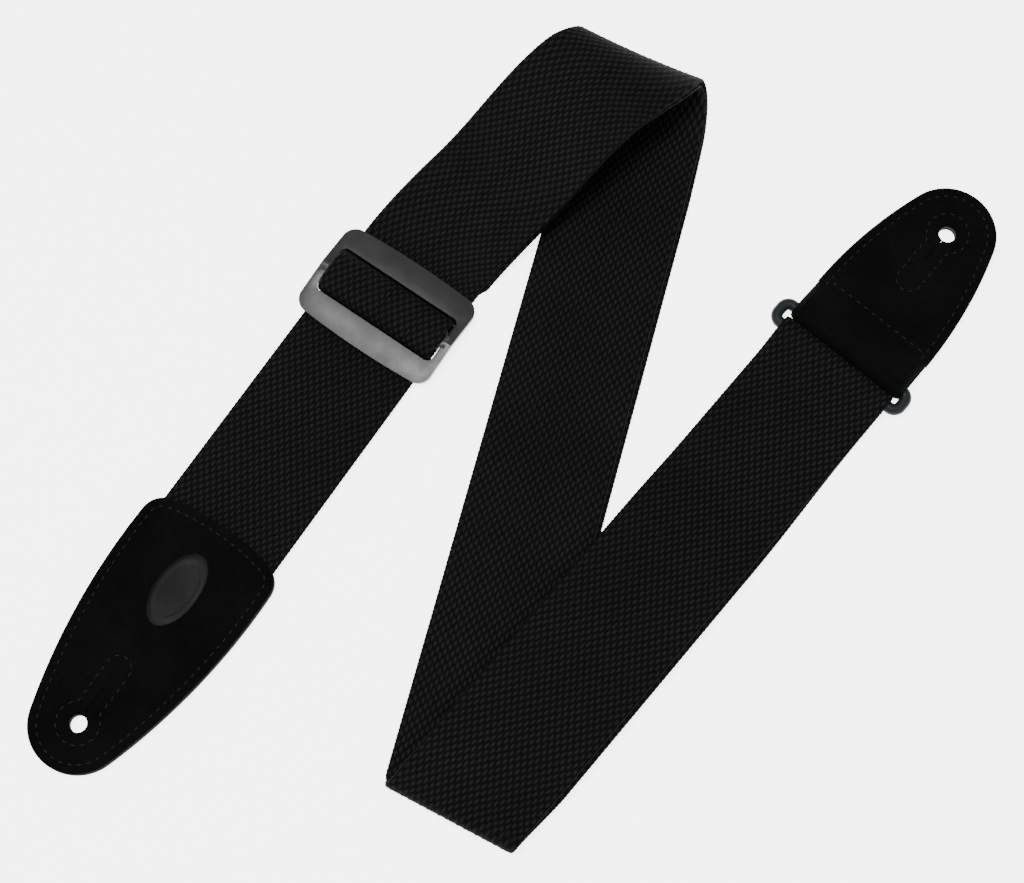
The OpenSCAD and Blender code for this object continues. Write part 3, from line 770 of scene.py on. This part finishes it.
def keyhole_path():
    turn, r = math.degrees(math.asin(KEY_NECK / 2 / KEY_R)), KEY_NECK / 2
    return np.array(arc([KEY_LEN - r, 0], r, 0, 90, 10) + arc([0, 0], KEY_R, turn, 360 - turn, 40)
                    + arc([KEY_LEN - r, 0], r, 270, 360, 10))


def button_outline():
    half = SLIT_W / 2
    turn = math.degrees(math.asin(half / (BUTTON_D / 2)))
    ring = arc([0, 0], BUTTON_D / 2, turn, 360 - turn, 40)
    slit_end = [[SLIT_LEN, -half], [SLIT_LEN + half, 0], [SLIT_LEN, half]]
    return np.array(ring + [np.array(p) for p in slit_end])


def distance_to(points, path, loop=True):
    a = path
    b = np.roll(path, -1, axis=0) if loop else path[1:]
    a = a if loop else path[:-1]
    best = np.full(len(points), 1e9)
    for p0, p1 in zip(a, b):
        e = p1 - p0
        t = np.clip(((points - p0) @ e) / max(e @ e, 1e-12), 0, 1)
        best = np.minimum(best, np.linalg.norm(points - p0 - t[:, None] * e, axis=1))
    return best


def leather_sheet(name, outlines, z0, z1, place, material, top=None, grid=0.9):
    """Flat leather piece with rounded edges; outlines is a function of inset, top adds height."""
    edge = outlines(0)
    hole = button_outline()
    insets = (0.0, 0.12, 0.3, EDGE_R)
    loops = [outlines(d) for d in insets]
    pts, edges = [], []

    def put(loop):
        first = len(pts)
        pts.extend(loop.tolist())
        edges.extend((first + i, first + (i + 1) % len(loop)) for i in range(len(loop)))

    for loop in loops:
        put(loop)
    put(hole)
    lo, hi = edge.min(0), edge.max(0)
    xs, ys = np.arange(lo[0], hi[0], grid), np.arange(lo[1], hi[1], grid * 0.866)
    gx, gy = np.meshgrid(xs, ys)
    gx = gx + (np.arange(len(ys)) % 2)[:, None] * grid / 2
    cand = np.stack([gx.ravel(), gy.ravel()], 1)
    inside = points_inside(cand, edge) & ~points_inside(cand, hole)
    cand = cand[inside]
    cand = cand[(distance_to(cand, edge) > EDGE_R + 0.35 * grid) & (distance_to(cand, hole) > 0.35 * grid)]
    pts.extend(cand.tolist())
    v2, _, f2, *_ = delaunay_2d_cdt([Vector(p) for p in pts], edges, [], 0, 1e-6)
    flat = np.array([(v.x, v.y) for v in v2])
    centres = np.array([flat[list(f)].mean(0) for f in f2])
    good = points_inside(centres, edge) & ~points_inside(centres, hole)
    tris = [list(f) for f, ok in zip(f2, good) if ok]
    used = sorted({i for f in tris for i in f})
    remap = {old: new for new, old in enumerate(used)}
    tris = [[remap[i] for i in f] for f in tris]
    flat = flat[used]
    d = np.minimum(distance_to(flat, edge), distance_to(flat, hole))
    round_off = EDGE_R - np.sqrt(np.maximum(EDGE_R ** 2 - np.clip(EDGE_R - d, 0, EDGE_R) ** 2, 0))
    upper = z1 - round_off + (top(flat, d) if top is not None else 0)
    lower = z0 + round_off
    a, b = flat[tris[0][1]] - flat[tris[0][0]], flat[tris[0][2]] - flat[tris[0][0]]
    if a[0] * b[1] - a[1] * b[0] < 0:
        tris = [f[::-1] for f in tris]
    count = len(flat)
    seen = {}
    for f in tris:
        for i in range(3):
            seen[(f[i], f[(i + 1) % 3])] = True
    rim = [e for e in seen if (e[1], e[0]) not in seen]
    faces = tris + [[i + count for i in f[::-1]] for f in tris]
    faces += [[e[1], e[0], e[0] + count, e[1] + count] for e in rim]
    p3 = np.concatenate([np.column_stack([flat, upper]), np.column_stack([flat, lower])])
    return new_object(name, to_world(p3, place) * MM, faces, material)


def points_inside(points, loop):
    x, y = points[:, 0], points[:, 1]
    inside = np.zeros(len(points), bool)
    j = len(loop) - 1
    for i in range(len(loop)):
        (xi, yi), (xj, yj) = loop[i], loop[j]
        if yi != yj:
            cross = ((yi > y) != (yj > y)) & (x < (xj - xi) * (y - yi) / (yj - yi) + xi)
            inside ^= cross
        j = i
    return inside


def to_world(p3, place):
    origin, angle = place
    u = direction(angle)
    v = left(u)
    flat = np.asarray(origin)[None, :] + p3[:, :1] * u + p3[:, 1:2] * v
    return np.column_stack([flat, p3[:, 2]])


END_A = (np.zeros(2), LEG_A)
END_B = (END_B_HOLE, LEG_B + 180)
B_STOP = RING_B - TURN_B_TAPER


def groove(d):
    return -0.22 * np.exp(-(d / GROOVE_W) ** 2)


def nap(flat):
    """Slow swell of the hide, the same on every run."""
    x, y = flat[:, 0], flat[:, 1]
    return 0.06 * np.sin(x / 7.3 + 0.6 * np.sin(y / 5.1)) * np.cos(y / 6.1 + 0.3)


def oval_reach(flat):
    return np.sqrt(((flat[:, 0] - OVAL_AT) / (OVAL_L / 2)) ** 2 + (flat[:, 1] / (OVAL_W / 2)) ** 2)


def front_a_top(flat, d):
    border = distance_to(flat, closed(half_a(STITCH_IN)))
    key = distance_to(flat, keyhole_path(), False)
    r = oval_reach(flat)
    pressed = -OVAL_DEEP * (1 - ease(np.clip((r - 0.94) / 0.12, 0, 1)))
    rim_up = 0.10 * np.exp(-((r - 0.80) / 0.05) ** 2)
    fade = np.clip((d - 0.5) / 1.5, 0, 1)
    return groove(border) + groove(key) + pressed + rim_up + nap(flat) * fade


def front_b_top(flat, d):
    border = distance_to(flat, np.array(half_b(STITCH_IN, B_STOP)), False)
    lower = distance_to(flat, np.array(half_b(STITCH_IN, B_STOP)) * [1, -1], False)
    key = distance_to(flat, keyhole_path(), False)
    row = np.abs(flat[:, 0] - (B_STOP - 2.6)) + np.clip(np.abs(flat[:, 1]) - (HALF_B - 6), 0, None)
    fade = np.clip((d - 0.5) / 1.5, 0, 1)
    return groove(border) + groove(lower) + groove(key) + groove(row) + nap(flat) * fade


def oval_patch(material):
    """Smooth pressed oval: a plain field inside a raised rim."""
    rings, around = 14, 72
    verts, faces = [(OVAL_AT, 0, 0)], []
    for i in range(1, rings + 1):
        r = i / rings * 0.985
        for k in range(around):
            a = 2 * math.pi * k / around
            verts.append((OVAL_AT + OVAL_L / 2 * r * math.cos(a), OVAL_W / 2 * r * math.sin(a), r))
    for k in range(around):
        faces.append([0, 1 + k, 1 + (k + 1) % around])
    for i in range(1, rings):
        a0, b0 = 1 + (i - 1) * around, 1 + i * around
        for k in range(around):
            n = (k + 1) % around
            faces.append([a0 + k, b0 + k, b0 + n, a0 + n])
    p = np.array(verts, float)
    r = p[:, 2].copy()
    level = HIDE_Z + HIDE_T - OVAL_DEEP + 0.06 + nap(p[:, :2])
    bead = 0.13 * np.exp(-((r - 0.80) / 0.06) ** 2)
    p[:, 2] = level + bead + 0.1 * (1 - r ** 2) - 0.12 * np.clip((r - 0.9) / 0.085, 0, 1)
    return new_object("end_a_pressed_oval", to_world(p, END_A) * MM, faces, material)


# ---------- stitches ----------
def stitch_path(name, points, place, z, cyclic, material, body, replaced=()):
    p = to_world(np.column_stack([points, np.full(len(points), z)]), place) * MM
    curve = bpy.data.curves.new(name, "CURVE")
    curve.dimensions = "3D"
    spline = curve.splines.new("POLY")
    spline.points.add(len(p) - 1)
    for point, co in zip(spline.points, p):
        point.co = (*co, 1)
    spline.use_cyclic_u = cyclic
    ob = bpy.data.objects.new(name, curve)
    bpy.context.scene.collection.objects.link(ob)
    ob = run_tree(ob, STITCHES, Material=material)
    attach(ob, body)
    if replaced:
        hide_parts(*replaced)
    return ob


def finish_piece(ob, body, replaced=()):
    if body:
        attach(ob, body)
    if replaced:
        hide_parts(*replaced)
    return ob


# ---------- build ----------
make_camera()
make_studio()
COTTON = webbing_material()
SUEDE = suede_material("black_suede", 0.0011, 0.0026)
LINING = grain_leather_material("lining_leather", 0.006, 0.012, 0.55)
OVAL = grain_leather_material("pressed_leather", 0.0013, 0.0026, 0.42, 0.1, 0.05)
CORE = suede_material("fibre_core", 0.03, 0.05)
THREAD = thread_material()
SLIDE_PLASTIC = plastic_material("slide_plastic", grey(0.0045, 0.06), grey(0.009, 0.06), 0.36, 0.38)
RING_PLASTIC = plastic_material("ring_plastic", grey(0.006, 0.3), grey(0.011, 0.3), 0.5, 0.14)
WEAVE = weave_tree()
STITCHES = stitch_tree()

front_route = resample(*layer_rows(True), True)
return_route = resample(*layer_rows(False), False)
FRONT, BACK = front_route[4], return_route[4]


def webbing_piece(name, route, start, stop, body, replaced=(), faces=("top", "under"), bend=None, flat=None):
    ob = band(name, route, start, stop, COTTON, faces)
    if bend:
        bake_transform(ob)
    finish_piece(ob, None if bend else body, replaced)
    return ob


def fold_bend(a, b, centre, n, z, reach, wide, lower):
    """Blend ends for half a fold: half way round, the band has turned half way."""
    c = np.asarray(centre)
    near, far = c - n * wide, c + n * (2 * reach + wide)
    if lower:
        return a, b, tuple(flat3(near, z) * MM), tuple(flat3(far, z) * MM)
    return a, b, tuple(flat3(far, z) * MM), tuple(flat3(near, z) * MM)


def make_webbing():
    layers = (("front", front_route, FRONT, WEB_T / 2), ("return", return_route, BACK, FRONT_Z + WEB_T / 2))
    for label, route, mark, off in layers:
        end = route[0][-1]
        cut = [mark["top_end"] - LOOP_WIDE, mark["crown"], mark["top_meet"] + LOOP_WIDE,
               mark["bottom_meet"] - CREASE_WIDE, mark["fold"], mark["bottom_end"] + CREASE_WIDE]
        cut = [round(c / (CROWN_STEP / ROWS_PER_STEP)) * CROWN_STEP / ROWS_PER_STEP for c in cut]
        loose = LOOSE if label == "return" else 0
        reach, crease, wide = LOOP_REACH - off - loose, CREASE_REACH - off, LOOP_WIDE - 9
        slide_end = A_DIR * (SLIDE_AT + 2)
        upper_bend = None
        if label == "return":
            upper_bend = ("slide", "upper_leg", tuple(flat3(slide_end, 0) * MM),
                          tuple(flat3(RISE_START, 0) * MM))
        webbing_piece(label + "_band_upper", route, 0, cut[0], "upper_leg", [label + "_webbing_upper"],
                      bend=upper_bend)
        webbing_piece(label + "_band_loop_over", route, cut[0], cut[1], None, [label + "_webbing_top_loop"],
                      bend=fold_bend("middle_leg", "upper_leg", TOP_MEET, TOP_N, HALF_H, reach, wide, False))
        webbing_piece(label + "_band_loop_under", route, cut[1], cut[2], None, (),
                      bend=fold_bend("middle_leg", "upper_leg", TOP_MEET, TOP_N, HALF_H, reach, wide, True))
        webbing_piece(label + "_band_middle", route, cut[2], cut[3], "middle_leg",
                      [label + "_webbing_middle"])
        webbing_piece(label + "_band_crease_under", route, cut[3], cut[4], None, [label + "_webbing_crease"],
                      bend=fold_bend("middle_leg", "lower_leg", BOTTOM_MEET, BOTTOM_N, CREASE_H / 2, crease,
                                     CREASE_WIDE - 8, True))
        webbing_piece(label + "_band_crease_over", route, cut[4], cut[5], None, (),
                      bend=fold_bend("middle_leg", "lower_leg", BOTTOM_MEET, BOTTOM_N, CREASE_H / 2, crease,
                                     CREASE_WIDE - 8, False))
        ends = [label + "_webbing_lower"] + (["ring_webbing_turn"] if label == "front" else [])
        webbing_piece(label + "_band_lower", route, cut[5], end, "lower_leg", ends)


def make_slide():
    bend = math.radians(8)
    bar_z = STACK_T + SOFT_GAP + SLIDE_W / 2 * math.sin(bend)
    centre = A_DIR * SLIDE_AT
    wrap_t, mid_w, side, length = 1.2, 5.0, 3.2, SLIDE_L
    wrap_top = bar_z + SLIDE_T + SLIP + wrap_t
    foot_u = SLIDE_W / 2 - SLIDE_BAR - SOFT_GAP - WEB_T / 2
    foot_z, top_z = STACK_T + SOFT_GAP + WEB_T / 2, wrap_top + SLIP + WEB_T / 2
    hump_w = length - 2 * side - 1.2
    pts = []
    for i in range(61):
        q = math.pi * i / 60
        c, s = math.cos(q), math.sin(q)
        pts.append((-foot_u * math.copysign(abs(c) ** 0.75, c), foot_z + (top_z - foot_z) * s ** 0.75))
    over = strip_route(pts, (A_DIR, left(A_DIR)), centre, hump_w, 1)
    hump = band("slide_band_hump", over, -1, 1e9, COTTON)
    finish_piece(hump, "slide", ["slide_webbing_hump"])
    wrap = []
    r_u, r_z = mid_w / 2 + SLIP + wrap_t / 2, SLIDE_T / 2 + SLIP + wrap_t / 2
    for i in range(49):
        q = 2 * math.pi * i / 48
        c, s = math.cos(q), math.sin(q)
        wrap.append((-r_u * math.copysign(abs(c) ** 0.5, c),
                     bar_z + SLIDE_T / 2 + r_z * math.copysign(abs(s) ** 0.5, s)))
    wrap = wrap[:-1]
    sleeve = sleeve_mesh("slide_band_wrap", wrap, wrap_t - 0.1, hump_w - 1, centre)
    finish_piece(sleeve, "slide", ["slide_webbing_wrap"])
    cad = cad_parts["slide_frame"]
    body = bpy.data.objects.new("slide_moulding", cad.data.copy())
    bpy.context.scene.collection.objects.link(body)
    bm = bmesh.new()
    bm.from_mesh(body.data)
    bmesh.ops.remove_doubles(bm, verts=bm.verts, dist=1e-6)
    bmesh.ops.dissolve_limit(bm, angle_limit=math.radians(1), verts=bm.verts, edges=bm.edges)
    bm.to_mesh(body.data)
    bm.free()
    soft = body.modifiers.new("soft_edges", "BEVEL")
    soft.width, soft.segments, soft.limit_method, soft.angle_limit = 0.55 * MM, 4, "ANGLE", math.radians(35)
    soft.harden_normals = False
    bow_long_bars(body.data, centre)
    body.data.materials.clear()
    body.data.materials.append(SLIDE_PLASTIC)
    body.data.polygons.foreach_set("use_smooth", [True] * len(body.data.polygons))
    body = bake(body, "slide_moulding_soft")
    finish_piece(body, "slide", ["slide_frame"])


def bow_long_bars(mesh, centre):
    """The outer edges of the long bars swell towards their middles."""
    u, v = A_DIR, left(A_DIR)
    bm = bmesh.new()
    bm.from_mesh(mesh)
    long_edges = [e for e in bm.edges if e.calc_length() > 12 * MM]
    bmesh.ops.subdivide_edges(bm, edges=long_edges, cuts=11, use_grid_fill=False)
    for vert in bm.verts:
        p = np.array([vert.co.x, vert.co.y]) / MM - centre
        a, b = p @ u, p @ v
        outer = np.clip((abs(a) - SLIDE_W / 2 + 3) / 3, 0, 1)
        move = math.copysign(SLIDE_BOW * outer * max(1 - (b / (SLIDE_L / 2)) ** 2, 0), a) * MM
        vert.co.x += u[0] * move
        vert.co.y += u[1] * move
    bmesh.ops.triangulate(bm, faces=[f for f in bm.faces if len(f.verts) > 4])
    bm.to_mesh(mesh)
    bm.free()


def sleeve_mesh(name, loop, thickness, width, centre):
    pts = np.array(loop)
    t = unit(np.roll(pts, -1, axis=0) - np.roll(pts, 1, axis=0))
    out = np.stack([-t[:, 1], t[:, 0]], 1)
    shells = [pts + out * thickness / 2, pts - out * thickness / 2]
    count, verts, faces = len(pts), [], []
    for end in (-1, 1):
        for shell in shells:
            for u, z in shell:
                verts.append((u, end * width / 2, z))
    index = np.arange(4 * count).reshape(4, count)
    order = [(0, 2), (2, 3), (3, 1), (1, 0)]
    for a, b in order:
        for i in range(count):
            j = (i + 1) % count
            faces.append([int(index[a, i]), int(index[b, i]), int(index[b, j]), int(index[a, j])])
    ob = new_object(name, to_world(np.array(verts), (centre, LEG_A)) * MM, faces, COTTON)
    bm = bmesh.new()
    bm.from_mesh(ob.data)
    bmesh.ops.recalc_face_normals(bm, faces=bm.faces)
    bm.to_mesh(ob.data)
    bm.free()
    return ob


def dress(node, material):
    """Gives a piece that keeps the frame's own mesh its material."""
    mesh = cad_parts[node].data
    mesh.materials.clear()
    mesh.materials.append(material)


def make_end_a():
    plain = lambda d: closed(half_a(d))
    top = leather_sheet("end_a_front", plain, HIDE_Z, HIDE_Z + HIDE_T, END_A, SUEDE, front_a_top)
    finish_piece(top, "upper_leg", ["end_a_front_leather"])
    back = leather_sheet("end_a_back", plain, 0, HIDE_T, END_A, LINING, grid=2.5)
    finish_piece(back, "upper_leg", ["end_a_back_leather"])
    finish_piece(oval_patch(OVAL), "upper_leg")
    z = HIDE_Z + HIDE_T - 0.05
    border, keyhole = plain(STITCH_IN), keyhole_path()
    stitch_path("end_a_border_thread", border, END_A, z, True, THREAD, "upper_leg",
                ["end_a_border_stitches"])
    stitch_path("end_a_keyhole_thread", keyhole, END_A, z, False, THREAD, "upper_leg",
                ["end_a_keyhole_stitches"])
    stitch_path("end_a_border_thread_under", border, END_A, UNDER_THREAD_Z, True, THREAD, "upper_leg")
    stitch_path("end_a_keyhole_thread_under", keyhole, END_A, UNDER_THREAD_Z, False, THREAD, "upper_leg")
    dress("end_a_core", CORE)


def make_end_b():
    plain = lambda d: closed(half_b(d, B_STOP - d))
    top = leather_sheet("end_b_front", plain, HIDE_Z, HIDE_Z + HIDE_T, END_B, SUEDE, front_b_top)
    finish_piece(top, "end_b", ["end_b_front_leather"])
    back = leather_sheet("end_b_back", plain, 0, HIDE_T, END_B, LINING, grid=2.5)
    finish_piece(back, "end_b", ["end_b_back_leather"])
    z = HIDE_Z + HIDE_T - 0.05
    side = np.array(half_b(STITCH_IN, B_STOP - 1))
    border = np.concatenate([side[::-1], (side * [1, -1])[1:]])
    stitch_path("end_b_border_thread", border, END_B, z, False, THREAD, "end_b", ["end_b_border_stitches"])
    stitch_path("end_b_keyhole_thread", keyhole_path(), END_B, z, False, THREAD, "end_b",
                ["end_b_keyhole_stitches"])
    stitch_path("end_b_border_thread_under", border, END_B, UNDER_THREAD_Z, False, THREAD, "end_b")
    stitch_path("end_b_keyhole_thread_under", keyhole_path(), END_B, UNDER_THREAD_Z, False, THREAD, "end_b")
    row = np.array([[B_STOP - 2.6, y] for y in np.linspace(-HALF_B + 6, HALF_B - 6, 8)])
    stitch_path("end_b_cross_thread", row, END_B, z, False, THREAD, "end_b", ["end_b_cross_stitches"])
    dress("end_b_core", CORE)
    make_leather_turn()


def make_leather_turn():
    r = RING_BAR / 2 + SLIP + HIDE_T / 2
    z0 = HIDE_Z + HIDE_T / 2
    pts = [(mix(-TURN_B_TAPER, 0, i / 20), mix(z0, RING_Z + r, ease(i / 20))) for i in range(21)]
    angles = [math.radians(90 - 180 * i / 24) for i in range(1, 25)]
    pts += [(r * math.cos(a), RING_Z + r * math.sin(a)) for a in angles]
    pts += [(-TURN_B_TAPER * i / 6, HIDE_T / 2) for i in range(1, 7)]
    u = -B_DIR
    centre = END_B_HOLE + u * RING_B
    route = strip_route(pts, (u, left(u)), centre, 2 * HALF_B - 0.6, 1)
    s, c, x, n, _ = route
    k = 24
    v = np.concatenate([np.linspace(-1, 1, k + 1), np.linspace(1, -1, k + 1)[1:-1]])
    sign = np.concatenate([np.ones(k + 1), -np.ones(k - 1)])
    edge = 1 - EDGE_R / HALF_B
    thick = np.sqrt(np.maximum(1 - np.clip((np.abs(v) - edge) / (1 - edge), 0, 1) ** 2, 0))
    offset = sign * thick * HIDE_T / 2 + TURN_PLUMP * (sign > 0) * thick
    p = c[:, None, :] + x[:, None, :] * v[None, :, None] + n[:, None, :] * offset[None, :, None]
    ob = new_object("end_b_turn", p.reshape(-1, 3) * MM, closed_band_faces(len(s), len(v)), SUEDE)
    finish_piece(ob, "end_b", ["end_b_leather_turn"])


def make_ring():
    dress("ring", RING_PLASTIC)


make_webbing()
make_slide()
make_end_a()
make_end_b()
make_ring()
